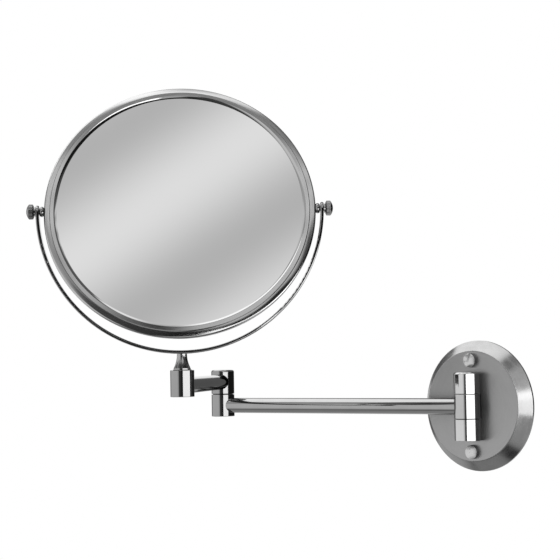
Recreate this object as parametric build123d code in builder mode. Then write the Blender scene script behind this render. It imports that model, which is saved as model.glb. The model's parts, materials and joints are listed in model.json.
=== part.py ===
from build123d import *
from math import cos, radians, sin, sqrt
import os

# Extendable shaving mirror, in millimetres.
# The origin is the centre of the wall plate's back, the wall is the XZ plane,
# and the object stands out of the wall towards -Y, with +Z up.

# Rest pose: compass headings seen from above, counted from +X towards +Y
rear_arm_heading = 188.0
front_arm_heading = -55.0
yoke_heading = 45.0
mirror_tilt = 18.0

# Fits
running_clearance = 0.03
end_play = 0.1
eye_clearance = 0.08
pivot_clearance = 0.3
glass_clearance = 0.2
window_clearance = 0.8
stud_hole_clearance = 0.2
thread_spare = 1.0

# Wall plate and what holds it
plate_radius = 51.0
plate_depth = 10.0
plate_shell = 1.7
bevel_width = 8.2
rim_edge = 1.6
bevel_round = 0.9
strap_width = 18.0
strap_thickness = 2.5
strap_end = 7.0
strap_corner = 4.0
wall_hole_radius = 2.5
wall_hole_spacing = 50.0
stud_radius = 2.5
stud_spacing = 71.0
stud_engagement = 3.2
stud_chamfer = 0.5
nut_radius = 5.5
nut_side = 3.2
nut_dome = 1.3
nut_bore_spare = 0.3

# Wall barrel
hinge_standoff = 6.5
wall_barrel_radius = 10.2
wall_knuckle_height = 19.0
fixed_knuckle_height = 16.5
barrel_top_round = 1.6
knuckle_edge = 0.3
knuckle_screw_radius = 1.5
knuckle_screw_depth = 6.0
knuckle_screw_head_radius = 2.6
knuckle_screw_head_height = 1.8
knuckle_screw_spread = 11.6

# Hinge pins, bushes and caps
pin_radius = 4.0
pin_cap = 3.0
pin_chamfer = 0.5
grub_length = 4.5
grub_recess = 0.5
grub_socket_radius = 2.3
grub_socket_depth = 2.5
bush_radius = 5.0
bush_length = 7.0
flange_radius = 8.6
flange_thickness = 0.4
cap_thickness = 1.2

# Arms
tube_radius = 6.35
tube_wall = 1.2
spigot_length = 12.0
rear_arm_length = 238.0
front_arm_length = 170.0

# Elbow
elbow_radius = 9.8
elbow_lower_height = 18.8
elbow_upper_height = 20.5
elbow_top_round = 1.8
elbow_well_radius = 7.0
elbow_well_depth = 6.0
bolt_head_radius = 6.2
bolt_head_height = 3.0
bolt_thread_radius = 3.0
bolt_thread_length = 14.0
bolt_socket_radius = 2.9
bolt_socket_depth = 1.8
spring_washer_radius = 6.4
spring_washer_height = 1.0
spring_washer_sheet = 0.6

# Hub and stem
hub_radius = 9.1
hub_height = 20.2
hub_lift = 1.6
hub_well_radius = 6.5
hub_well_depth = 6.0
hub_flange_radius = 7.2
stem_height = 11.85
stem_base_radius = 6.5
stem_neck_radius = 3.8
stem_foot = 0.8
stem_screw_radius = 2.0
stem_screw_length = 8.0
stem_screw_head_radius = 3.5
stem_screw_head_height = 2.2
stem_washer_radius = 6.0
stem_washer_thickness = 1.0
yoke_screw_length = 8.0
yoke_screw_head_radius = 3.7
driver_slot_width = 0.8
driver_slot_depth = 0.8

# Mirror: heights are counted from the tilt axis, positive towards the front
glass_radius = 97.6
glass_thickness = 2.4
rear_glass_thickness = 2.2
rear_glass_curvature = 1200.0
glass_air_gap = 0.26
spacer_width = 5.0
frame_front = 4.0
frame_wall = 1.8
lip_cover = 4.1
lip_thickness = 1.4
rear_lip_thickness = 1.6
lip_edge = 0.4
lip_flange = 0.9
lip_bevel = 1.4
lip_fall = 0.4
lip_shoulder = 1.3
lip_slope = 1.8
lip_round = 0.3
bead_radius = 2.0
bead_overlap = 0.3

# Yoke, pivots and thumb screws
ring_gap = 3.4
yoke_thickness = 2.6
yoke_width = 9.5
yoke_edge = 1.0
eye_flat = 0.1
boss_radius = 3.9
boss_end_radius = 2.9
boss_seat = 0.3
boss_floor = 0.8
boss_spigot_radius = 1.0
thumb_thread_radius = 2.0
thumb_thread_recess = 0.5
collar_radius = 3.4
collar_length = 1.0
knob_radius = 5.7
knob_length = 3.8
knob_bevel_length = 0.9
knob_bevel_height = 1.6
knob_dome = 2.1
knurl_count = 32
knurl_radius = 0.42
knurl_depth = 0.3


def heading(angle):
    """Level direction at a compass heading."""
    return Vector(cos(radians(angle)), sin(radians(angle)), 0)


# The three upright axes
up = Vector(0, 0, 1)
wall_axis = Vector(0, -plate_depth - hinge_standoff, 0)
elbow_axis = wall_axis + heading(rear_arm_heading) * rear_arm_length
hub_axis = elbow_axis + heading(front_arm_heading) * front_arm_length
wall_hinge = Axis(wall_axis, up)
elbow_hinge = Axis(elbow_axis, up)
hub_swivel = Axis(hub_axis, up)

# Heights on those axes
wall_knuckle_top = wall_knuckle_height / 2
fixed_knuckle_start = wall_knuckle_top + flange_thickness + end_play
barrel_top = fixed_knuckle_start + fixed_knuckle_height
pin_top = barrel_top - pin_cap
pin_bottom = grub_recess + grub_length - barrel_top
elbow_lower_top = elbow_lower_height / 2
elbow_well_top = elbow_well_depth - elbow_lower_top
elbow_upper_bottom = elbow_lower_top + flange_thickness + end_play
front_arm_height = elbow_upper_bottom + elbow_upper_height / 2
bolt_head_top = elbow_well_top - end_play - spring_washer_height
hub_bottom = front_arm_height + hub_lift - hub_height / 2
hub_top = hub_bottom + hub_height
hub_well_top = hub_bottom + hub_well_depth
shaft_bottom = hub_well_top - end_play
stem_bottom = hub_top + flange_thickness + end_play
stem_top = stem_bottom + stem_height

# Radii and heights through the mirror frame
frame_inside = glass_radius + glass_clearance
frame_outside = frame_inside + frame_wall
frame_crest = frame_outside + 2 * bead_radius - bead_overlap
bead_centre = frame_crest - bead_radius
bead_middle = bead_radius / sqrt(2)
lip_radius = glass_radius - lip_cover
front_glass_face = frame_front - lip_thickness
front_glass_back = front_glass_face - glass_thickness
rear_glass_crown = front_glass_back - glass_air_gap

# Places along the tilt axis
boss_start = frame_crest - boss_seat
boss_bore_start = boss_start + boss_floor
yoke_inside = frame_crest + ring_gap
yoke_outside = yoke_inside + yoke_thickness
boss_end = yoke_inside - pivot_clearance
collar_start = yoke_outside + pivot_clearance
knob_start = collar_start + collar_length
knob_end = knob_start + knob_length

# Directions of the yoke and the mirror
tilt_axis = heading(yoke_heading)
yoke_front = heading(yoke_heading - 90)
mirror_front = yoke_front * cos(radians(mirror_tilt)) + up * sin(radians(mirror_tilt))
mirror_centre = hub_axis + up * (stem_top + yoke_outside)
mirror_section = Plane(mirror_centre, x_dir=tilt_axis, z_dir=tilt_axis.cross(mirror_front))
mirror_axis = Axis(mirror_centre, mirror_front)
pivot_axis = Axis(mirror_centre, tilt_axis)

bush_bore = pin_radius + running_clearance
tube_bore = tube_radius - tube_wall


def level(point, height):
    """Level plane at a height on an upright axis."""
    return Plane(point + up * height, x_dir=(1, 0, 0), z_dir=up)


def upright(point):
    """Section plane of an upright axis: radius to the right, height upwards."""
    return Plane(point, x_dir=(1, 0, 0), z_dir=(0, -1, 0))


def across(point, direction):
    """Plane square to a level direction and facing along it."""
    return Plane(point, x_dir=up, z_dir=direction)


def turned(section, axis, outline):
    """Solid of revolution of a closed outline of corners."""
    with BuildPart() as piece:
        with BuildSketch(section):
            with BuildLine():
                Polyline(*outline, close=True)
            make_face()
        revolve(axis=axis)
    return piece


def ring_outline(inside, outside, bottom, top):
    """Section of a plain ring, or of a disc where the inside is zero."""
    return [(inside, bottom), (outside, bottom), (outside, top), (inside, top)]


def bush_outline(flange, sleeve_end, seat, side=1):
    """Section of a flanged bush from the end of its sleeve to the face of its flange."""
    face = seat + flange_thickness
    corners = [
        (bush_bore, sleeve_end),
        (bush_radius, sleeve_end),
        (bush_radius, seat),
        (flange, seat),
        (flange, face),
        (bush_bore, face),
    ]
    return [(radius, side * height) for radius, height in corners]


def knuckle(point, radius, bottom, top, top_round, arm_height, arm_direction, bores):
    """Barrel on an upright axis with a spigot for its tube and bores of (radius, bottom, top)."""
    with BuildPart() as piece:
        with BuildSketch(level(point, bottom)):
            Circle(radius)
        extrude(amount=top - bottom)
        fillet(piece.edges().group_by(Axis.Z)[-1], top_round)
        chamfer(piece.edges().group_by(Axis.Z)[0], knuckle_edge)
        with BuildSketch(across(point + up * arm_height, arm_direction)):
            Circle(tube_bore)
        extrude(amount=radius + spigot_length)
        for bore_radius, bore_bottom, bore_top in bores:
            with BuildSketch(level(point, bore_bottom)):
                Circle(bore_radius)
            extrude(amount=bore_top - bore_bottom, mode=Mode.SUBTRACT)
    return piece


def arm_tube(start, start_radius, end, end_radius):
    """Tube between two upright axes, with its ends saddled to the barrels there."""
    span = end - start
    with BuildPart() as piece:
        with BuildSketch(across(start, span.normalized())):
            Circle(tube_radius)
            Circle(tube_bore, mode=Mode.SUBTRACT)
        extrude(amount=span.length)
        for point, radius in ((start, start_radius), (end, end_radius)):
            with BuildSketch(level(point, 0)):
                Circle(radius)
            extrude(amount=2 * tube_radius, both=True, mode=Mode.SUBTRACT)
    return piece


# Wall strap: flat against the wall, with two screw holes and two stud holes
with BuildPart() as wall_strap:
    with BuildSketch(Plane.XZ):
        RectangleRounded(strap_width, stud_spacing + 2 * strap_end, strap_corner)
        with GridLocations(0, wall_hole_spacing, 1, 2):
            Circle(wall_hole_radius, mode=Mode.SUBTRACT)
        with GridLocations(0, stud_spacing, 1, 2):
            Circle(stud_radius, mode=Mode.SUBTRACT)
    extrude(amount=strap_thickness)

# Studs: riveted flush in the strap
with BuildPart() as strap_studs:
    with BuildSketch(Plane.XZ):
        with GridLocations(0, stud_spacing, 1, 2):
            Circle(stud_radius)
    extrude(amount=plate_depth + stud_engagement)
    chamfer(strap_studs.faces().group_by(Axis.Y)[0].edges(), stud_chamfer)

# Wall plate: a dished shell with a flat face, a straight bevel and a short rim,
# holes for the studs and the knuckle screws, and a window behind the turning knuckle
plate_section = Plane((0, 0, 0), x_dir=(1, 0, 0), z_dir=(0, 0, -1))
window_width = 2 * (sqrt(wall_barrel_radius**2 - hinge_standoff**2) + window_clearance)
window_height = 2 * (fixed_knuckle_start + window_clearance)
knuckle_screw_pitch = 2 * fixed_knuckle_start + fixed_knuckle_height
with BuildPart() as wall_plate:
    with BuildSketch(plate_section):
        with BuildLine():
            Polyline(
                (0, 0),
                (0, plate_depth),
                (plate_radius - bevel_width, plate_depth),
                (plate_radius, rim_edge),
                (plate_radius, 0),
                close=True,
            )
        make_face()
    revolve(axis=Axis.Y)
    fillet(wall_plate.faces().sort_by(Axis.Y)[0].edges(), bevel_round)
    offset(amount=-plate_shell, openings=wall_plate.faces().sort_by(Axis.Y)[-1])
    with BuildSketch(Plane.XZ.offset(plate_depth)):
        Rectangle(window_width, window_height)
        with GridLocations(0, stud_spacing, 1, 2):
            Circle(stud_radius + stud_hole_clearance)
        with GridLocations(knuckle_screw_spread, knuckle_screw_pitch, 2, 2):
            Circle(knuckle_screw_radius)
    extrude(amount=-2 * plate_shell, mode=Mode.SUBTRACT)

# Cap nuts: round and slightly domed, on the plate's face
nut_edge = plate_depth + nut_side
nut_top = nut_edge + nut_dome
nut_bore_end = plate_depth + stud_engagement + nut_bore_spare
nut_dome_radius = (nut_radius**2 + nut_dome**2) / (2 * nut_dome)
nut_shoulder = nut_radius / 2
nut_shoulder_height = nut_top - nut_dome_radius + sqrt(nut_dome_radius**2 - nut_shoulder**2)
with BuildPart() as cap_nuts:
    for height in (stud_spacing / 2, -stud_spacing / 2):
        with BuildSketch(Plane((0, 0, height), x_dir=(1, 0, 0), z_dir=(0, 0, -1))):
            with BuildLine():
                ThreePointArc((nut_radius, nut_edge), (nut_shoulder, nut_shoulder_height), (0, nut_top))
                Polyline(
                    (0, nut_top),
                    (0, nut_bore_end),
                    (stud_radius, nut_bore_end),
                    (stud_radius, plate_depth),
                    (nut_radius, plate_depth),
                    (nut_radius, nut_edge),
                )
            make_face()
        revolve(axis=Axis((0, 0, height), (0, 1, 0)))


def fixed_knuckle(side, bore_end):
    """Outer knuckle above (side 1) or below (side -1) the turning one, flat against the plate."""
    with BuildPart() as piece:
        with BuildSketch(level(wall_axis, side * fixed_knuckle_start)):
            Circle(wall_barrel_radius)
            with Locations((0, hinge_standoff)):
                Rectangle(
                    2 * wall_barrel_radius,
                    wall_barrel_radius,
                    align=(Align.CENTER, Align.MIN),
                    mode=Mode.SUBTRACT,
                )
        extrude(amount=side * fixed_knuckle_height)
        rims = piece.edges().filter_by(GeomType.CIRCLE).sort_by(Axis.Z)
        if side > 0:
            fillet(rims[-1], barrel_top_round)
        else:
            chamfer(rims[0], knuckle_edge)
        with BuildSketch(level(wall_axis, side * fixed_knuckle_start)):
            Circle(pin_radius)
        extrude(amount=side * (bore_end - fixed_knuckle_start), mode=Mode.SUBTRACT)
        with BuildSketch(Plane.XZ.offset(plate_depth)):
            with Locations((0, side * knuckle_screw_pitch / 2)):
                with GridLocations(knuckle_screw_spread, 0, 2, 1):
                    Circle(knuckle_screw_radius)
        extrude(amount=knuckle_screw_depth, mode=Mode.SUBTRACT)
    return piece


upper_fixed_knuckle = fixed_knuckle(1, pin_top)
lower_fixed_knuckle = fixed_knuckle(-1, barrel_top)

# Knuckle screws: heads inside the plate, threads in the fixed knuckles
plate_inside = plate_depth - plate_shell
with BuildPart() as knuckle_screws:
    with BuildSketch(Plane.XZ.offset(plate_inside)):
        with GridLocations(knuckle_screw_spread, knuckle_screw_pitch, 2, 2):
            Circle(knuckle_screw_head_radius)
    extrude(amount=-knuckle_screw_head_height)
    with BuildSketch(Plane.XZ.offset(plate_inside)):
        with GridLocations(knuckle_screw_spread, knuckle_screw_pitch, 2, 2):
            Circle(knuckle_screw_radius)
    extrude(amount=plate_shell + knuckle_screw_depth)
    with BuildSketch(Plane.XZ.offset(plate_inside - knuckle_screw_head_height)):
        with GridLocations(knuckle_screw_spread, knuckle_screw_pitch, 2, 2):
            Rectangle(2 * knuckle_screw_head_radius, driver_slot_width)
    extrude(amount=driver_slot_depth, mode=Mode.SUBTRACT)

# Hinge pin and the grub screw below it
with BuildPart() as wall_hinge_pin:
    with BuildSketch(level(wall_axis, pin_bottom)):
        Circle(pin_radius)
    extrude(amount=pin_top - pin_bottom)
    chamfer(wall_hinge_pin.edges().filter_by(GeomType.CIRCLE), pin_chamfer)

with BuildPart() as pin_grub_screw:
    with BuildSketch(level(wall_axis, pin_bottom - grub_length)):
        Circle(pin_radius)
    extrude(amount=grub_length)
    with BuildSketch(level(wall_axis, pin_bottom - grub_length)):
        RegularPolygon(grub_socket_radius, 6)
    extrude(amount=grub_socket_depth, mode=Mode.SUBTRACT)

# Rear arm
rear_direction = heading(rear_arm_heading)
wall_knuckle = knuckle(
    wall_axis,
    wall_barrel_radius,
    -wall_knuckle_top,
    wall_knuckle_top,
    knuckle_edge,
    0,
    rear_direction,
    [(bush_radius, -wall_knuckle_top, wall_knuckle_top)],
)
with BuildPart() as wall_hinge_bushes:
    for side in (1, -1):
        with BuildSketch(upright(wall_axis)):
            with BuildLine():
                Polyline(
                    *bush_outline(flange_radius, wall_knuckle_top - bush_length, wall_knuckle_top, side),
                    close=True,
                )
            make_face()
        revolve(axis=wall_hinge)
rear_arm_tube = arm_tube(wall_axis, wall_barrel_radius, elbow_axis, elbow_radius)
elbow_lower_knuckle = knuckle(
    elbow_axis,
    elbow_radius,
    -elbow_lower_top,
    elbow_lower_top,
    knuckle_edge,
    0,
    -rear_direction,
    [
        (bush_radius, elbow_well_top, elbow_lower_top),
        (elbow_well_radius, -elbow_lower_top, elbow_well_top),
    ],
)
elbow_bush = turned(
    upright(elbow_axis),
    elbow_hinge,
    bush_outline(flange_radius, elbow_well_top, elbow_lower_top),
)
elbow_end_cap = turned(
    upright(elbow_axis),
    elbow_hinge,
    ring_outline(0, elbow_well_radius, -elbow_lower_top, cap_thickness - elbow_lower_top),
)

# Front arm
front_direction = heading(front_arm_heading)
elbow_upper_top = elbow_upper_bottom + elbow_upper_height
bolt_hole_end = elbow_upper_bottom + bolt_thread_length + thread_spare
elbow_upper_knuckle = knuckle(
    elbow_axis,
    elbow_radius,
    elbow_upper_bottom,
    elbow_upper_top,
    elbow_top_round,
    front_arm_height,
    front_direction,
    [(bolt_thread_radius, elbow_upper_bottom, bolt_hole_end)],
)
bolt_head_bottom = bolt_head_top - bolt_head_height
bolt_end = elbow_upper_bottom + bolt_thread_length
with BuildPart() as elbow_bolt:
    with BuildSketch(upright(elbow_axis)):
        with BuildLine():
            Polyline(
                (0, bolt_head_bottom),
                (bolt_head_radius, bolt_head_bottom),
                (bolt_head_radius, bolt_head_top),
                (pin_radius, bolt_head_top),
                (pin_radius, elbow_upper_bottom),
                (bolt_thread_radius, elbow_upper_bottom),
                (bolt_thread_radius, bolt_end),
                (0, bolt_end),
                close=True,
            )
        make_face()
    revolve(axis=elbow_hinge)
    with BuildSketch(level(elbow_axis, bolt_head_bottom)):
        RegularPolygon(bolt_socket_radius, 6)
    extrude(amount=bolt_socket_depth, mode=Mode.SUBTRACT)
elbow_spring_washer = turned(
    upright(elbow_axis),
    elbow_hinge,
    [
        (bush_bore, bolt_head_top),
        (spring_washer_radius, bolt_head_top + spring_washer_height - spring_washer_sheet),
        (spring_washer_radius, bolt_head_top + spring_washer_height),
        (bush_bore, bolt_head_top + spring_washer_sheet),
    ],
)
front_arm_tube = arm_tube(
    elbow_axis + up * front_arm_height,
    elbow_radius,
    hub_axis + up * front_arm_height,
    hub_radius,
)
swivel_hub = knuckle(
    hub_axis,
    hub_radius,
    hub_bottom,
    hub_top,
    knuckle_edge,
    front_arm_height,
    -front_direction,
    [(bush_radius, hub_well_top, hub_top), (hub_well_radius, hub_bottom, hub_well_top)],
)
swivel_bush = turned(
    upright(hub_axis),
    hub_swivel,
    bush_outline(hub_flange_radius, hub_well_top, hub_top),
)
hub_end_cap = turned(
    upright(hub_axis),
    hub_swivel,
    ring_outline(0, hub_well_radius, hub_bottom, hub_bottom + cap_thickness),
)

# Swivel stem: a shaft in the hub, flaring out over it and narrowing up to the yoke
with BuildPart() as swivel_stem:
    with BuildSketch(upright(hub_axis)):
        with BuildLine():
            TangentArc(
                (stem_neck_radius, stem_top),
                (stem_base_radius, stem_bottom + stem_foot),
                tangent=(0, -1),
            )
            Polyline(
                (stem_base_radius, stem_bottom + stem_foot),
                (stem_base_radius, stem_bottom),
                (pin_radius, stem_bottom),
                (pin_radius, shaft_bottom),
                (0, shaft_bottom),
                (0, stem_top),
                (stem_neck_radius, stem_top),
            )
        make_face()
    revolve(axis=hub_swivel)
    with BuildSketch(level(hub_axis, shaft_bottom)):
        Circle(stem_screw_radius)
    extrude(amount=stem_screw_length + thread_spare, mode=Mode.SUBTRACT)
    with BuildSketch(level(hub_axis, stem_top)):
        Circle(stem_screw_radius)
    extrude(amount=-yoke_screw_length - thread_spare, mode=Mode.SUBTRACT)

stem_washer_bottom = shaft_bottom - stem_washer_thickness
stem_head_bottom = stem_washer_bottom - stem_screw_head_height
stem_washer = turned(
    upright(hub_axis),
    hub_swivel,
    ring_outline(stem_screw_radius, stem_washer_radius, stem_washer_bottom, shaft_bottom),
)
with BuildPart() as stem_screw:
    with BuildSketch(level(hub_axis, stem_head_bottom)):
        Circle(stem_screw_head_radius)
    extrude(amount=stem_screw_head_height)
    with BuildSketch(level(hub_axis, stem_washer_bottom)):
        Circle(stem_screw_radius)
    extrude(amount=stem_washer_thickness + stem_screw_length)
    with BuildSketch(level(hub_axis, stem_head_bottom)):
        Rectangle(2 * stem_screw_head_radius, driver_slot_width)
    extrude(amount=driver_slot_depth, mode=Mode.SUBTRACT)

# Yoke: half a ring of flat strip, with a round eye at each end and a countersunk hole below
yoke_floor = stem_top + yoke_thickness
countersink_end = yoke_floor - (yoke_screw_head_radius - stem_screw_radius)
eye_height = yoke_width / 2
with BuildPart() as yoke_strip:
    with BuildSketch(Plane(mirror_centre, x_dir=tilt_axis, z_dir=yoke_front)):
        Circle(yoke_outside)
        Circle(yoke_inside, mode=Mode.SUBTRACT)
        Rectangle(
            2 * yoke_outside,
            yoke_outside,
            align=(Align.CENTER, Align.MIN),
            mode=Mode.SUBTRACT,
        )
        with GridLocations(yoke_inside + yoke_outside, 0, 2, 1):
            Rectangle(yoke_thickness, eye_height, align=(Align.CENTER, Align.MIN))
    extrude(amount=yoke_width / 2, both=True)
    fillet(
        yoke_strip.edges().filter_by(pivot_axis).group_by(Axis.Z)[-1],
        (yoke_width - eye_flat) / 2,
    )
    fillet(yoke_strip.edges().filter_by(pivot_axis, reverse=True), yoke_edge)
    with BuildSketch(across(mirror_centre, tilt_axis)):
        Circle(thumb_thread_radius + eye_clearance)
    extrude(amount=2 * yoke_outside, both=True, mode=Mode.SUBTRACT)
    with BuildSketch(upright(hub_axis)):
        with BuildLine():
            Polyline(
                (0, yoke_floor + yoke_thickness),
                (yoke_screw_head_radius, yoke_floor + yoke_thickness),
                (yoke_screw_head_radius, yoke_floor),
                (stem_screw_radius, countersink_end),
                (stem_screw_radius, stem_top - yoke_thickness),
                (0, stem_top - yoke_thickness),
                close=True,
            )
        make_face()
    revolve(axis=hub_swivel, mode=Mode.SUBTRACT)

with BuildPart() as yoke_screw:
    with BuildSketch(upright(hub_axis)):
        with BuildLine():
            Polyline(
                (0, yoke_floor),
                (yoke_screw_head_radius, yoke_floor),
                (stem_screw_radius, countersink_end),
                (stem_screw_radius, stem_top - yoke_screw_length),
                (0, stem_top - yoke_screw_length),
                close=True,
            )
        make_face()
    revolve(axis=hub_swivel)
    with BuildSketch(level(hub_axis, yoke_floor)):
        Rectangle(2 * yoke_screw_head_radius, driver_slot_width)
    extrude(amount=-driver_slot_depth, mode=Mode.SUBTRACT)


def rear_glass_height(radius, sphere_radius):
    """Height of a spherical face of the rear glass, whose faces share one centre."""
    sphere_centre = rear_glass_crown - rear_glass_thickness - rear_glass_curvature
    return sphere_centre + sqrt(sphere_radius**2 - radius**2)


inner_sphere = rear_glass_curvature + rear_glass_thickness
rear_lip_seat = -rear_glass_height(glass_radius, rear_glass_curvature)
frame_rear = rear_lip_seat + rear_lip_thickness


def frame_ring(side, seat, face):
    """Half of the frame on one side of the tilt axis: wall, stepped lip and half of the bead.

    A flat step joins the bead to the wall.
    """
    with BuildPart() as piece:
        with BuildSketch(mirror_section) as profile:
            with BuildLine():
                Polyline(
                    (frame_crest, 0),
                    (frame_inside, 0),
                    (frame_inside, side * seat),
                    (lip_radius, side * seat),
                    (lip_radius, side * (seat + lip_edge)),
                    (lip_radius + lip_flange, side * (seat + lip_edge)),
                    (lip_radius + lip_flange + lip_bevel, side * face),
                    (frame_outside - lip_shoulder, side * (face - lip_fall)),
                    (frame_outside, side * (face - lip_slope)),
                    (frame_outside, side * bead_radius),
                    (bead_centre, side * bead_radius),
                )
                ThreePointArc(
                    (bead_centre, side * bead_radius),
                    (bead_centre + bead_middle, side * bead_middle),
                    (frame_crest, 0),
                )
            make_face()
            lip_corners = profile.vertices().sort_by(Axis.Y, reverse=side > 0)[:2]
            fillet(lip_corners, lip_round)
        revolve(axis=mirror_axis)
        with BuildSketch(across(mirror_centre, tilt_axis)):
            Circle(boss_spigot_radius)
        extrude(amount=frame_crest, both=True, mode=Mode.SUBTRACT)
        for way in (tilt_axis, -tilt_axis):
            with BuildSketch(across(mirror_centre + way * boss_start, way)):
                Circle(boss_radius)
            extrude(amount=ring_gap, mode=Mode.SUBTRACT)
    return piece


front_ring = frame_ring(1, front_glass_face, frame_front)
rear_ring = frame_ring(-1, rear_lip_seat, frame_rear)

# Glasses: a flat one in front, and one of even thickness that is hollow towards the rear
with BuildPart() as front_glass:
    back = mirror_centre + mirror_front * front_glass_back
    with BuildSketch(Plane(back, x_dir=tilt_axis, z_dir=mirror_front)):
        Circle(glass_radius)
    extrude(amount=glass_thickness)

half_radius = glass_radius / 2
with BuildPart() as rear_glass:
    with BuildSketch(mirror_section):
        with BuildLine():
            ThreePointArc(
                (0, rear_glass_crown),
                (half_radius, rear_glass_height(half_radius, inner_sphere)),
                (glass_radius, rear_glass_height(glass_radius, inner_sphere)),
            )
            Line(
                (glass_radius, rear_glass_height(glass_radius, inner_sphere)),
                (glass_radius, rear_glass_height(glass_radius, rear_glass_curvature)),
            )
            ThreePointArc(
                (glass_radius, rear_glass_height(glass_radius, rear_glass_curvature)),
                (half_radius, rear_glass_height(half_radius, rear_glass_curvature)),
                (0, rear_glass_crown - rear_glass_thickness),
            )
            Line((0, rear_glass_crown - rear_glass_thickness), (0, rear_glass_crown))
        make_face()
    revolve(axis=mirror_axis)

# Spacer: a ring of foam between the glasses, fitted to the rear one
spacer_inside = glass_radius - spacer_width
spacer_middle = glass_radius - spacer_width / 2
with BuildPart() as glass_spacer:
    with BuildSketch(mirror_section):
        with BuildLine():
            ThreePointArc(
                (spacer_inside, rear_glass_height(spacer_inside, inner_sphere)),
                (spacer_middle, rear_glass_height(spacer_middle, inner_sphere)),
                (glass_radius, rear_glass_height(glass_radius, inner_sphere)),
            )
            Polyline(
                (glass_radius, rear_glass_height(glass_radius, inner_sphere)),
                (glass_radius, front_glass_back),
                (spacer_inside, front_glass_back),
                (spacer_inside, rear_glass_height(spacer_inside, inner_sphere)),
            )
        make_face()
    revolve(axis=mirror_axis)

# Pivot bosses: barrel-shaped, threaded, with rivet ends through the frame
boss_bore = thumb_thread_radius + running_clearance
with BuildPart() as pivot_bosses:
    for side in (1, -1):
        with BuildSketch(mirror_section):
            with BuildLine():
                Polyline(
                    (side * boss_end, boss_end_radius),
                    (side * boss_end, boss_bore),
                    (side * boss_bore_start, boss_bore),
                    (side * boss_bore_start, 0),
                    (side * frame_inside, 0),
                    (side * frame_inside, boss_spigot_radius),
                    (side * boss_start, boss_spigot_radius),
                    (side * boss_start, boss_end_radius),
                )
                ThreePointArc(
                    (side * boss_start, boss_end_radius),
                    (side * (boss_start + boss_end) / 2, boss_radius),
                    (side * boss_end, boss_end_radius),
                )
            make_face()
        revolve(axis=pivot_axis)


def thumb_screw(side):
    """Knurled thumb screw on the right (side 1) or the left (side -1) end of the tilt axis."""
    dome_radius = (knob_radius**2 + knob_dome**2) / (2 * knob_dome)
    shoulder = knob_radius / 2
    shoulder_place = knob_end + knob_dome - dome_radius + sqrt(dome_radius**2 - shoulder**2)
    thread_start = boss_bore_start + thumb_thread_recess
    way = tilt_axis * side
    with BuildPart() as piece:
        with BuildSketch(mirror_section):
            with BuildLine():
                Polyline(
                    (side * (knob_end + knob_dome), 0),
                    (side * thread_start, 0),
                    (side * thread_start, thumb_thread_radius),
                    (side * collar_start, thumb_thread_radius),
                    (side * collar_start, collar_radius),
                    (side * knob_start, collar_radius),
                    (side * knob_start, knob_radius - knob_bevel_height),
                    (side * (knob_start + knob_bevel_length), knob_radius),
                    (side * knob_end, knob_radius),
                )
                ThreePointArc(
                    (side * knob_end, knob_radius),
                    (side * shoulder_place, shoulder),
                    (side * (knob_end + knob_dome), 0),
                )
            make_face()
        revolve(axis=pivot_axis)
        with BuildSketch(across(mirror_centre + way * knob_start, way)):
            with PolarLocations(knob_radius - knurl_depth + knurl_radius, knurl_count):
                Circle(knurl_radius)
        extrude(amount=knob_length + knob_dome, mode=Mode.SUBTRACT)
    return piece


left_thumb_screw = thumb_screw(-1)
right_thumb_screw = thumb_screw(1)

pieces = {
    "wall_strap": wall_strap,
    "strap_studs": strap_studs,
    "wall_plate": wall_plate,
    "cap_nuts": cap_nuts,
    "upper_fixed_knuckle": upper_fixed_knuckle,
    "lower_fixed_knuckle": lower_fixed_knuckle,
    "knuckle_screws": knuckle_screws,
    "wall_hinge_pin": wall_hinge_pin,
    "pin_grub_screw": pin_grub_screw,
    "wall_knuckle": wall_knuckle,
    "wall_hinge_bushes": wall_hinge_bushes,
    "rear_arm_tube": rear_arm_tube,
    "elbow_lower_knuckle": elbow_lower_knuckle,
    "elbow_bush": elbow_bush,
    "elbow_end_cap": elbow_end_cap,
    "elbow_upper_knuckle": elbow_upper_knuckle,
    "elbow_bolt": elbow_bolt,
    "elbow_spring_washer": elbow_spring_washer,
    "front_arm_tube": front_arm_tube,
    "swivel_hub": swivel_hub,
    "swivel_bush": swivel_bush,
    "hub_end_cap": hub_end_cap,
    "swivel_stem": swivel_stem,
    "stem_washer": stem_washer,
    "stem_screw": stem_screw,
    "yoke_strip": yoke_strip,
    "yoke_screw": yoke_screw,
    "front_ring": front_ring,
    "rear_ring": rear_ring,
    "front_glass": front_glass,
    "rear_glass": rear_glass,
    "glass_spacer": glass_spacer,
    "pivot_bosses": pivot_bosses,
    "left_thumb_screw": left_thumb_screw,
    "right_thumb_screw": right_thumb_screw,
}
os.makedirs("parts", exist_ok=True)
for name, piece in pieces.items():
    piece.part.label = name
    export_step(piece.part, f"parts/{name}.step")
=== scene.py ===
import json
from math import asin, cos, pi, radians, sin, sqrt
import bmesh
import bpy
from mathutils import Euler, Matrix, Vector


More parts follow.
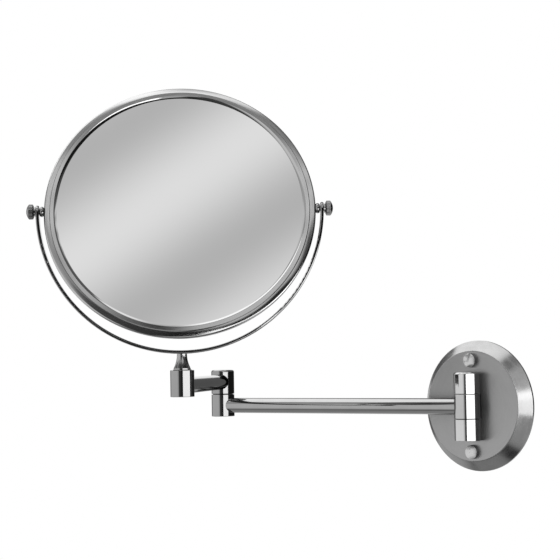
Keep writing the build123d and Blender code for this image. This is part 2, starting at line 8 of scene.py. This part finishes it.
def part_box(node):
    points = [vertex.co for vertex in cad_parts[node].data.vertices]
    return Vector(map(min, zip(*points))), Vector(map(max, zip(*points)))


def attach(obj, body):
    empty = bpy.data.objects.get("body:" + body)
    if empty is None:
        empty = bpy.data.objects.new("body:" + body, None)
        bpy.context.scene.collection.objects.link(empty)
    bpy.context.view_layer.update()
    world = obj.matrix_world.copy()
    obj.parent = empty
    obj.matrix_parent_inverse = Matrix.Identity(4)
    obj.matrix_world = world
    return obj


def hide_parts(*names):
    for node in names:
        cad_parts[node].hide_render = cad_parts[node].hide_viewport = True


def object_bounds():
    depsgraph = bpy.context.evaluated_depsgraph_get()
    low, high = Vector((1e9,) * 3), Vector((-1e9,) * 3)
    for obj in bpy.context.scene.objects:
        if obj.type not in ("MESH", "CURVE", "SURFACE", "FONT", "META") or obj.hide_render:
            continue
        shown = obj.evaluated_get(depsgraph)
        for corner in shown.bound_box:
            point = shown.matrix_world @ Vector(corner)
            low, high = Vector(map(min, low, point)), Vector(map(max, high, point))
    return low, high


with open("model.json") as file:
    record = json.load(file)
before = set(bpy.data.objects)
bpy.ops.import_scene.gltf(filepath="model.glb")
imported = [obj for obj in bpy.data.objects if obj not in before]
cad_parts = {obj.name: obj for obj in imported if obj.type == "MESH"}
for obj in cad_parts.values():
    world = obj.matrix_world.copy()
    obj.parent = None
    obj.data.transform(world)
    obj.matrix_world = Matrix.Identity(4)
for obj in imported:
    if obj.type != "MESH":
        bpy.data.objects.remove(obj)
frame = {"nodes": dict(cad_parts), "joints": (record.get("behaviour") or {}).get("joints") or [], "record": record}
cad_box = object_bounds()
nodes = frame["nodes"]
joints = {joint["name"]: joint for joint in frame["joints"]}
slot_of = {part["node"]: part["material_slot"] for part in frame["record"]["subparts"]}

# Camera: the photograph's viewpoint, in metres and degrees
PICTURE_WIDTH = 560
FOCAL_PIXELS = 1589.0
SENSOR_WIDTH = 36.0
CAMERA_PLACE = (0.74212, -1.01526, 0.0395)
CAMERA_HEADING = 43.241
CAMERA_PITCH = 2.826
CAMERA_ROLL = 0.935
CAMERA_NEAREST = 0.01

# Studio: a way is given by its shares to the photograph's right, to its front and upwards, and an
# edge by the two shares between which something starts and is full
STUDIO_HEADING = 43.2

# Greys of the walls and of the ledge above them, by degrees from the front, positive to the right
STUDIO_WALLS = [
    (-180, 0.12),
    (-142, 0.12),
    (-128, 0.64),
    (-46, 0.64),
    (-34, 0.45),
    (-28, 0.06),
    (-10, 0.04),
    (0, 0.01),
    (30, 0.01),
    (148, 0.015),
    (156, 0.09),
    (180, 0.12),
]
STUDIO_LEDGE = [
    (-180, 0.2),
    (-98, 0.12),
    (-88, 0.4),
    (-58, 0.4),
    (-30, 0.3),
    (-18, 0.6),
    (-10, 0.15),
    (-3, 0.08),
    (3, 0.6),
    (30, 0.6),
    (38, 0.06),
    (180, 0.2),
]
LEDGE_EDGE = (0.28, 0.38)

# Ceiling in front, with diagonal bands and a plain part above them
CEILING_FRONT_EDGE = (0.15, 0.35)
CEILING_HEIGHT_EDGE = (0.5, 0.58)
BAND_WAY = (-0.574, -0.54, 0.616)
BAND_RATE = 62.4
BAND_SHIFT = -1.18
BAND_GREYS = (0.47, 0.77)
PLAIN_EDGE = (0.75, 0.81)
PLAIN_GREY = 0.26

# Soft box overhead, with its own greys on the left, from back to front and on the right
OVERHEAD_EDGE = (0.91, 0.95)
OVERHEAD_MIDDLE_EDGE = (-0.15, 0.0)
OVERHEAD_LEFT_GREY = 1.3
OVERHEAD_FRONT_EDGE = (0.12, 0.3)
OVERHEAD_GREYS = (0.6, 1.15)
OVERHEAD_RIGHT_EDGE = (0.06, 0.2)
OVERHEAD_RIGHT_GREY = 1.0

# Soft box high on the left
LEFT_BOX_WAY = (-0.4, -0.35, 0.85)
LEFT_BOX_EDGE = (0.83, 0.88)
LEFT_BOX_SIDE_EDGE = (-0.1, -0.2)

# Dark below, and grey low down at the back and on the right
BELOW_EDGE = (-0.4, -0.85)
BELOW_GREY = 0.03
FAR_WAY = (0.6, -0.8, 0)
FAR_EDGE = (0.1, 0.35)
FAR_HEIGHT_EDGE = (-0.14, -0.24)
FAR_GREY = 0.45

# Light cards: way, half width in degrees, and grey
STUDIO_CARDS = [
    ((-0.32, -0.13, -0.94), 20, 0.3),
    ((0.8, 0.3, -0.5), 20, 0.45),
    ((0.06, 0.73, -0.68), 14, 0.4),
    ((0.15, 0.92, -0.38), 9, 0.42),
    ((0.2, 0.92, 0.34), 8, 0.6),
]
CARD_EDGE = 5

# White backdrop behind the object, with its outer and inner half width in degrees
BACKDROP_WAY = (0, -1, 0.1)
BACKDROP_WIDTHS = (12, 8)

# How much of the room and of the lamps reaches metal by way of other metal, which starts between
# two ray depths
ROOM_BETWEEN = 0.3
LAMP_BETWEEN = 0.03
BETWEEN_DEPTHS = (2.0, 3.0)

# Soft box in front, in metres: the right and front places of its two ends, the height of its
# middle, how tall it is, and its brightness
BOX_LEFT_END = (-0.143, 0.582)
BOX_RIGHT_END = (0.178, 0.115)
BOX_HEIGHT = 0.015
BOX_TALL = 0.15
BOX_BRIGHTNESS = 1.6

# Lamp for the shade on dull surfaces, which metal doesn't mirror
KEY_PLACE = (0.7, -0.9, 1.3)
KEY_WAY = (-0.8, 0.8, -1.25)
KEY_SIZE = (1.1, 1.1)
KEY_BRIGHTNESS = 5.0

# Floor, in metres
FLOOR_HEIGHT = -0.35
FLOOR_RADIUS = 1.0
FLOOR_FADE = 0.5
FLOOR_SEGMENTS = 96
FLOOR_GREYS = (0.84, 0.88)
FLOOR_ROUGHNESS = 0.9

# Looks: ranges of the noise that are spread over a look's values
NOISE_RANGE = (0.3, 0.7)
SMEAR_RANGE = (0.25, 0.75)
HAZE_RANGE = (0.2, 0.8)
STREAK_RANGE = (0.35, 0.65)
SMEAR_TONES = (0.95, 1.05)
GLASS_GREYS = (0.925, 0.935)
GLASS_ROUGHNESS = (0.005, 0.02)

# Brushed steel: streaks per metre across and their scale round the axis, in metres else
STREAK_TONES = (0.88, 1.06)
FINE_STREAKS = 1600.0
COARSE_STREAKS = 500.0
STREAKS_AROUND = 4.0
STREAK_SLANT = 0.8
STREAK_DETAIL = 2.0
STREAK_ROUGHNESS = 0.6
FACE_EDGE = 0.001
FACE_EVENNESS = 0.7
BRUSHING = 0.6
RING_FACE_RADIUS = 0.0949
PLATE_FACE_RADIUS = 0.0428

MIRROR_TILT = 18.0

# Turned pieces, in millimetres: heights of the mirror's are counted from its tilt axis
MM = 0.001
TURNED_SEGMENTS = 256
SHARP_ANGLE = 25
GLASS_RADIUS = 97.6
REAR_CROWN = -0.06
REAR_THICKNESS = 2.2
REAR_CURVATURE = 1200.0
REAR_RINGS = 24
LIP_RADIUS = 93.5
LIP_EDGE = (0.0, 0.1)
LIP_CHAMFER = (1.3, 0.6)
LIP_CREST = 2.1
LIP_FALL = 0.45
FRAME_INSIDE = 97.8
SHOULDER_RADIUS = 98.3
GROOVE_PLACE = (98.8, 2.6)
BEAD_CENTRE = 101.3
BEAD_RADIUS = 2.0
BEAD_START = 20
BEAD_END = 90
BEAD_STEP = 10
FRONT_LIP = (2.6, 4.0)
REAR_LIP = (6.236, 7.836)
STEM_HEIGHT = 11.85
STEM_FOOT = 0.8
STEM_BASE_RADIUS = 6.5
STEM_NECK_RADIUS = 3.8
STEM_STEPS = 16
SHAFT_RADIUS = 4.0

pivot = Vector(joints["mirror_tilt"]["pos_m"])
tilt_axis = Vector(joints["mirror_tilt"]["axis"])
up = Vector((0, 0, 1))
yoke_front = tilt_axis.cross(up)
mirror_front = yoke_front * cos(radians(MIRROR_TILT)) + up * sin(radians(MIRROR_TILT))
studio_turn = radians(STUDIO_HEADING)
right_way = Vector((cos(studio_turn), sin(studio_turn), 0))
front_way = Vector((sin(studio_turn), -cos(studio_turn), 0))


def toward(right, front, height=0):
    """Vector from its shares to the photograph's right, to its front and upwards."""
    return right_way * right + front_way * front + up * height


class Graph:
    """Short names for building a node tree."""

    def __init__(self, tree):
        self.tree = tree

    def add(self, kind, inputs=None, **settings):
        node = self.tree.nodes.new(kind)
        for name, value in settings.items():
            setattr(node, name, value)
        for key, value in (inputs or {}).items():
            self.put(node.inputs[key], value)
        return node

    def put(self, socket, value):
        if isinstance(value, bpy.types.NodeSocket):
            self.tree.links.new(value, socket)
        else:
            socket.default_value = value

    def math(self, operation, *values):
        node = self.add("ShaderNodeMath", operation=operation)
        for socket, value in zip(node.inputs, values):
            self.put(socket, value)
        return node.outputs[0]

    def vector(self, operation, *values, output=0):
        node = self.add("ShaderNodeVectorMath", operation=operation)
        for socket, value in zip(node.inputs, values):
            self.put(socket, value)
        return node.outputs[output]

    def scale(self, vector, amount):
        node = self.add("ShaderNodeVectorMath", {0: vector, "Scale": amount}, operation="SCALE")
        return node.outputs[0]

    def dot(self, vector, way):
        return self.vector("DOT_PRODUCT", vector, way, output="Value")

    def span(self, value, low, high, to_low=0.0, to_high=1.0):
        """Straight change from one value at low to another at high."""
        inputs = {0: value, 1: low, 2: high, 3: to_low, 4: to_high}
        return self.add("ShaderNodeMapRange", inputs).outputs[0]

    def step(self, value, low, high):
        """Soft step from 0 at low to 1 at high."""
        inputs = {0: value, 1: low, 2: high}
        return self.add("ShaderNodeMapRange", inputs, interpolation_type="SMOOTHSTEP").outputs[0]

    def mix(self, share, first, second):
        """Mix of two numbers."""
        node = self.add("ShaderNodeMix", data_type="FLOAT")
        self.put(node.inputs[0], share)
        self.put(node.inputs[2], first)
        self.put(node.inputs[3], second)
        return node.outputs[0]

    def place(self):
        """Place on the object, in metres."""
        return self.add("ShaderNodeTexCoord").outputs["Object"]

    def noise(self, vector, scale, detail=2.0, roughness=0.5):
        inputs = {"Vector": vector, "Scale": scale, "Detail": detail, "Roughness": roughness}
        return self.add("ShaderNodeTexNoise", inputs).outputs["Fac"]

    def ramp(self, value, stops):
        node = self.add("ShaderNodeValToRGB", {0: value})
        while len(node.color_ramp.elements) < len(stops):
            node.color_ramp.elements.new(0.5)
        for element, (place, grey) in zip(node.color_ramp.elements, stops):
            element.position = place
            element.color = (grey, grey, grey, 1)
        return node.outputs[0]

    def bump(self, height, strength, distance):
        inputs = {"Strength": strength, "Distance": distance, "Height": height}
        return self.add("ShaderNodeBump", inputs).outputs["Normal"]


def add_camera():
    """Camera that looks slightly upwards, as in the photograph."""
    data = bpy.data.cameras.new("camera")
    data.sensor_width = SENSOR_WIDTH
    data.lens = FOCAL_PIXELS * SENSOR_WIDTH / PICTURE_WIDTH
    data.clip_start = CAMERA_NEAREST
    camera = bpy.data.objects.new("camera", data)
    aim = Euler((radians(90 + CAMERA_PITCH), 0, radians(CAMERA_HEADING)), "XYZ").to_matrix()
    roll = Matrix.Rotation(radians(-CAMERA_ROLL), 3, "Z")
    camera.matrix_world = Matrix.Translation(CAMERA_PLACE) @ (aim @ roll).to_4x4()
    bpy.context.scene.collection.objects.link(camera)
    bpy.context.scene.camera = camera


def between(graph, share):
    """1 in what the first surface mirrors, and a share of it in what is mirrored after that."""
    depth = graph.add("ShaderNodeLightPath").outputs["Ray Depth"]
    return graph.span(depth, *BETWEEN_DEPTHS, 1.0, share)


def add_studio():
    """White to the eye; metal sees a room with soft boxes, cards and a white backdrop."""
    world = bpy.data.worlds.new("studio")
    bpy.context.scene.world = world
    world.use_nodes = True
    graph = Graph(world.node_tree)
    way = graph.add("ShaderNodeTexCoord").outputs["Generated"]
    front = graph.dot(way, front_way)
    right = graph.dot(way, right_way)
    height = graph.dot(way, up)
    around = graph.math("ARCTAN2", right, front)
    share = graph.span(around, -pi, pi)

    def greys(table):
        return graph.ramp(share, [((degrees + 180) / 360, grey) for degrees, grey in table])

    def nearness(place):
        return graph.dot(way, toward(*place).normalized())

    def disc(place, outer, inner):
        """1 within an inner half width of a way, 0 beyond an outer one, in degrees."""
        return graph.step(nearness(place), cos(radians(outer)), cos(radians(inner)))

    # Above the walls and the ledge, a ceiling whose soft diagonal bands show in the mirror
    room = graph.mix(graph.step(height, *LEDGE_EDGE), greys(STUDIO_WALLS), greys(STUDIO_LEDGE))
    diagonal = graph.dot(way, toward(*BAND_WAY))
    bands = graph.math("COSINE", graph.math("MULTIPLY_ADD", diagonal, BAND_RATE, BAND_SHIFT))
    bands = graph.span(bands, -1, 1, *BAND_GREYS)
    banded = graph.mix(graph.step(height, *PLAIN_EDGE), bands, PLAIN_GREY)
    in_front = graph.step(front, *CEILING_FRONT_EDGE)
    ceiling = graph.math("MULTIPLY", in_front, graph.step(height, *CEILING_HEIGHT_EDGE))
    room = graph.mix(ceiling, room, banded)

    # One soft box overhead and one high on the left
    left_box = graph.step(nearness(LEFT_BOX_WAY), *LEFT_BOX_EDGE)
    left_box = graph.math("MULTIPLY", left_box, graph.step(right, *LEFT_BOX_SIDE_EDGE))
    overhead = graph.math("MAXIMUM", left_box, graph.step(height, *OVERHEAD_EDGE))
    bright = graph.span(front, *OVERHEAD_FRONT_EDGE, *OVERHEAD_GREYS)
    bright = graph.mix(graph.step(right, *OVERHEAD_RIGHT_EDGE), bright, OVERHEAD_RIGHT_GREY)
    bright = graph.mix(graph.step(right, *OVERHEAD_MIDDLE_EDGE), OVERHEAD_LEFT_GREY, bright)
    room = graph.mix(overhead, room, bright)

    # Dark below, but grey low down at the back and on the right, and the cards
    room = graph.mix(graph.step(height, *BELOW_EDGE), room, BELOW_GREY)
    far_side = graph.step(nearness(FAR_WAY), *FAR_EDGE)
    low_down = graph.math("MULTIPLY", far_side, graph.step(height, *FAR_HEIGHT_EDGE))
    room = graph.mix(low_down, room, FAR_GREY)
    for place, half_width, grey in STUDIO_CARDS:
        room = graph.mix(disc(place, half_width + CARD_EDGE, half_width), room, grey)

    # White where the eye looks past the object, and where metal sees the backdrop
    rays = graph.add("ShaderNodeLightPath").outputs
    backdrop = graph.math("MULTIPLY", rays["Is Glossy Ray"], disc(BACKDROP_WAY, *BACKDROP_WIDTHS))
    seen = graph.math("MAXIMUM", rays["Is Camera Ray"], rays["Is Transmission Ray"])
    seen = graph.math("MAXIMUM", seen, backdrop)
    room = graph.math("MULTIPLY", room, between(graph, ROOM_BETWEEN))
    background = world.node_tree.nodes["Background"]
    graph.put(background.inputs["Color"], graph.mix(seen, room, 1.0))
    background.inputs["Strength"].default_value = 1.0


def add_lamp(name, place, way, size, brightness):
    """Flat soft lamp of a width and height, which the camera doesn't see."""
    width, height = size
    data = bpy.data.lights.new(name, "AREA")
    data.shape = "RECTANGLE"
    data.size = width
    data.size_y = height
    data.energy = brightness * pi * width * height
    data.use_nodes = True
    graph = Graph(data.node_tree)
    emission = data.node_tree.nodes["Emission"]
    graph.put(emission.inputs["Strength"], between(graph, LAMP_BETWEEN))
    lamp = bpy.data.objects.new(name, data)
    lamp.location = place
    lamp.rotation_euler = Vector(way).to_track_quat("-Z", "Y").to_euler()
    lamp.visible_camera = False
    bpy.context.scene.collection.objects.link(lamp)
    return lamp


def add_lamps():
    """Soft box in front of the object, and the lamp for the shade."""
    left_end = toward(*BOX_LEFT_END)
    right_end = toward(*BOX_RIGHT_END)
    box_place = (left_end + right_end) / 2 + up * BOX_HEIGHT
    box_width = right_end - left_end
    box_size = (box_width.length, BOX_TALL)
    add_lamp("soft_box", box_place, up.cross(box_width), box_size, BOX_BRIGHTNESS)
    key = add_lamp("soft_key", KEY_PLACE, KEY_WAY, KEY_SIZE, KEY_BRIGHTNESS)
    key.visible_glossy = False


def material(name):
    """New material, with its node tree and its shader."""
    made = bpy.data.materials.new(name)
    made.use_nodes = True
    return made, Graph(made.node_tree), made.node_tree.nodes["Principled BSDF"]


def add_floor():
    """Pale floor below the object, which fades into the white around it."""
    shape = bmesh.new()
    bmesh.ops.create_circle(shape, cap_ends=True, radius=FLOOR_RADIUS, segments=FLOOR_SEGMENTS)
    data = bpy.data.meshes.new("floor")
    shape.to_mesh(data)
    shape.free()
    floor = bpy.data.objects.new("floor", data)
    low, high = cad_box
    floor.location = ((low[0] + high[0]) / 2, (low[1] + high[1]) / 2, FLOOR_HEIGHT)
    floor.visible_glossy = False
    bpy.context.scene.collection.objects.link(floor)
    made, graph, shader = material("pale_floor")
    place = graph.place()
    grain = graph.noise(place, scale=40.0, detail=3.0)
    graph.put(shader.inputs["Base Color"], graph.span(grain, *NOISE_RANGE, *FLOOR_GREYS))
    shader.inputs["Roughness"].default_value = FLOOR_ROUGHNESS
    white = graph.add("ShaderNodeEmission").outputs[0]
    away = graph.vector("LENGTH", place, output="Value")
    fade = graph.step(away, FLOOR_FADE, FLOOR_RADIUS)
    rays = graph.add("ShaderNodeLightPath").outputs
    share = graph.math("MULTIPLY", fade, rays["Is Camera Ray"])
    blend = graph.add("ShaderNodeMixShader", {0: share, 1: shader.outputs[0], 2: white})
    graph.put(made.node_tree.nodes["Material Output"].inputs["Surface"], blend.outputs[0])
    data.materials.append(made)


def chrome(name, tone, roughness=(0.03, 0.08)):
    """Polished plate with faint smears and pores, between two roughnesses."""
    made, graph, shader = material(name)
    place = graph.place()
    smears = graph.noise(place, scale=55.0, detail=4.0, roughness=0.6)
    pores = graph.noise(place, scale=1100.0)
    tones = [tone * share for share in SMEAR_TONES]
    shader.inputs["Metallic"].default_value = 1.0
    graph.put(shader.inputs["Base Color"], graph.span(smears, *SMEAR_RANGE, *tones))
    graph.put(shader.inputs["Roughness"], graph.span(smears, *NOISE_RANGE, *roughness))
    graph.put(shader.inputs["Normal"], graph.bump(pores, strength=0.02, distance=0.0002))
    return made


def spun_steel(name, centre, axis, tone, roughness, face_radius, face_roughness):
    """Steel brushed round an axis, between two roughnesses, with a face of its own roughness."""
    made, graph, shader = material(name)
    offset = graph.vector("SUBTRACT", graph.place(), Vector(centre))
    depth = graph.dot(offset, Vector(axis))
    flat = graph.vector("SUBTRACT", offset, graph.scale(Vector(axis), depth))
    radius = graph.vector("LENGTH", flat, output="Value")
    around = graph.scale(graph.vector("NORMALIZE", flat), STREAKS_AROUND)
    ridge = graph.math("MULTIPLY_ADD", depth, STREAK_SLANT, radius)

    def streak(per_metre):
        spread = graph.scale(Vector(axis), graph.math("MULTIPLY", ridge, per_metre))
        spread = graph.vector("ADD", around, spread)
        return graph.noise(spread, 1.0, STREAK_DETAIL, STREAK_ROUGHNESS)

    fine = streak(FINE_STREAKS)
    streaks = graph.mix(0.5, fine, streak(COARSE_STREAKS))
    outside = graph.step(radius, face_radius, face_radius + FACE_EDGE)
    rough = graph.span(streaks, *STREAK_RANGE, *roughness)
    greys = graph.span(streaks, *STREAK_RANGE, *[tone * share for share in STREAK_TONES])
    face_greys = graph.mix(FACE_EVENNESS, greys, tone)
    shader.inputs["Metallic"].default_value = 1.0
    graph.put(shader.inputs["Base Color"], graph.mix(outside, face_greys, greys))
    graph.put(shader.inputs["Roughness"], graph.mix(outside, face_roughness, rough))
    shader.inputs["Anisotropic"].default_value = BRUSHING
    graph.put(shader.inputs["Normal"], graph.bump(fine, strength=0.008, distance=0.0002))
    across = graph.vector("CROSS_PRODUCT", Vector(axis), offset)
    to_world = graph.add("ShaderNodeVectorTransform", {0: across}, vector_type="VECTOR",
                         convert_from="OBJECT", convert_to="WORLD")
    graph.put(shader.inputs["Tangent"], graph.vector("NORMALIZE", to_world.outputs[0]))
    return made


def mirror_glass():
    """Silvered glass with a faint haze."""
    made, graph, shader = material("silvered_glass")
    haze = graph.noise(graph.place(), scale=25.0, detail=3.0)
    shader.inputs["Metallic"].default_value = 1.0
    graph.put(shader.inputs["Base Color"], graph.span(haze, *HAZE_RANGE, *GLASS_GREYS))
    graph.put(shader.inputs["Roughness"], graph.span(haze, *NOISE_RANGE, *GLASS_ROUGHNESS))
    return made


def dull(name, grey, roughness, metallic=0.0):
    """Plain steel, nylon or foam, with a fine grain."""
    made, graph, shader = material(name)
    grain = graph.noise(graph.place(), scale=1200.0, detail=3.0)
    shader.inputs["Base Color"].default_value = (grey, grey, grey, 1)
    shader.inputs["Metallic"].default_value = metallic
    graph.put(shader.inputs["Roughness"], graph.span(grain, *NOISE_RANGE, *roughness))
    graph.put(shader.inputs["Normal"], graph.bump(grain, strength=0.2, distance=0.0001))
    return made


def add_turned(name, node, body, outline, look, centre=pivot, axis=mirror_front):
    """Smooth piece on an axis in place of a node, from an outline of (radius, height)."""
    shape = bmesh.new()
    sideways = axis.cross(tilt_axis)
    turns = [2 * pi * step / TURNED_SEGMENTS for step in range(TURNED_SEGMENTS)]
    rows = []
    for radius, height in outline:
        level = centre + axis * (height * MM)
        angles = turns if radius else turns[:1]
        spokes = [tilt_axis * cos(angle) + sideways * sin(angle) for angle in angles]
        rows.append([shape.verts.new(level + spoke * (radius * MM)) for spoke in spokes])
    for row, following in zip(rows, rows[1:] + rows[:1]):
        for step in range(TURNED_SEGMENTS):
            after = (step + 1) % TURNED_SEGMENTS
            corners = [row[step % len(row)], row[after % len(row)]]
            corners += [following[after % len(following)], following[step % len(following)]]
            corners = list(dict.fromkeys(corners))
            if len(corners) > 2:
                shape.faces.new(corners).smooth = True
    bmesh.ops.recalc_face_normals(shape, faces=shape.faces)
    data = bpy.data.meshes.new(name)
    shape.to_mesh(data)
    shape.free()
    data.set_sharp_from_angle(angle=radians(SHARP_ANGLE))
    data.materials.append(look)
    piece = bpy.data.objects.new(name, data)
    bpy.context.scene.collection.objects.link(piece)
    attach(piece, body)
    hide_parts(node)


def frame_outline(side, seat, face):
    """Half of the frame: inner wall, lip that falls outwards from its crest, groove, half bead."""
    lip = [(LIP_RADIUS + width, seat + rise) for width, rise in (LIP_EDGE, LIP_CHAMFER)]
    outline = [(FRAME_INSIDE, 0), (FRAME_INSIDE, seat), (LIP_RADIUS, seat), *lip]
    outline += [(LIP_RADIUS + LIP_CREST, face), (SHOULDER_RADIUS, face - LIP_FALL), GROOVE_PLACE]
    for angle in range(BEAD_START, BEAD_END + 1, BEAD_STEP):
        tilt = radians(angle)
        outline.append((BEAD_CENTRE + BEAD_RADIUS * sin(tilt), BEAD_RADIUS * cos(tilt)))
    return [(radius, side * height) for radius, height in outline]


def stem_outline():
    """Shaft and flared stem, which narrows upwards in an arc."""
    low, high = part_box("swivel_stem")
    end = low[2] / MM
    top = high[2] / MM
    foot = top - STEM_HEIGHT
    run = STEM_BASE_RADIUS - STEM_NECK_RADIUS
    drop = STEM_HEIGHT - STEM_FOOT
    bend = (run**2 + drop**2) / (2 * run)
    outline = [(0, top)]
    for step in range(STEM_STEPS + 1):
        angle = asin(drop / bend) * step / STEM_STEPS
        outline.append((STEM_NECK_RADIUS + bend * (1 - cos(angle)), top - bend * sin(angle)))
    outline += [(STEM_BASE_RADIUS, foot), (SHAFT_RADIUS, foot), (SHAFT_RADIUS, end), (0, end)]
    return outline


def rear_glass_outline():
    """Glass of even thickness, hollow towards the rear."""
    centre = REAR_CROWN - REAR_THICKNESS - REAR_CURVATURE

    def face(curvature):
        radii = [GLASS_RADIUS * ring / REAR_RINGS for ring in range(REAR_RINGS + 1)]
        return [(radius, centre + sqrt(curvature**2 - radius**2)) for radius in radii]

    return face(REAR_CURVATURE + REAR_THICKNESS) + face(REAR_CURVATURE)[::-1]


spun_rings = spun_steel(
    "spun_rings",
    centre=pivot,
    axis=mirror_front,
    tone=0.74,
    roughness=(0.09, 0.16),
    face_radius=RING_FACE_RADIUS,
    face_roughness=0.05,
)
spun_plate = spun_steel(
    "spun_plate",
    centre=(0, 0, 0),
    axis=(0, -1, 0),
    tone=0.52,
    roughness=(0.12, 0.22),
    face_radius=PLATE_FACE_RADIUS,
    face_roughness=0.34,
)
bright_chrome = chrome("bright_chrome", tone=0.92)
arm_chrome = chrome("arm_chrome", tone=0.55)
stem_chrome = chrome("stem_chrome", tone=0.6, roughness=(0.12, 0.18))
silvered_glass = mirror_glass()

# Looks by slot, and those of single pieces
looks = {
    "polished": chrome("chrome", tone=0.5),
    "brushed": spun_rings,
    "mirror_glass": silvered_glass,
    "plain_steel": dull("plain_steel", grey=0.5, roughness=(0.25, 0.4), metallic=1.0),
    "nylon": dull("nylon", grey=0.03, roughness=(0.45, 0.6)),
    "foam": dull("foam", grey=0.05, roughness=(0.7, 0.9)),
}
own_looks = {
    "wall_plate": spun_plate,
    "cap_nuts": chrome("nut_chrome", tone=0.9, roughness=(0.22, 0.3)),
    "wall_knuckle": chrome("knuckle_chrome", tone=0.75),
    "upper_fixed_knuckle": bright_chrome,
    "lower_fixed_knuckle": bright_chrome,
    "rear_arm_tube": arm_chrome,
    "front_arm_tube": arm_chrome,
}
for node, piece in nodes.items():
    piece.data.materials.clear()
    piece.data.materials.append(own_looks.get(node) or looks[slot_of[node]])

add_turned("front_frame", "front_ring", "mirror", frame_outline(1, *FRONT_LIP), spun_rings)
add_turned("rear_frame", "rear_ring", "mirror", frame_outline(-1, *REAR_LIP), spun_rings)
hub = Vector(joints["yoke_swivel"]["pos_m"])
hub.z = 0
add_turned("flared_stem", "swivel_stem", "yoke", stem_outline(), stem_chrome, hub, up)
add_turned("rear_mirror", "rear_glass", "mirror", rear_glass_outline(), silvered_glass)
add_camera()
add_studio()
add_lamps()
add_floor()
bpy.context.scene.view_settings.view_transform = "Standard"
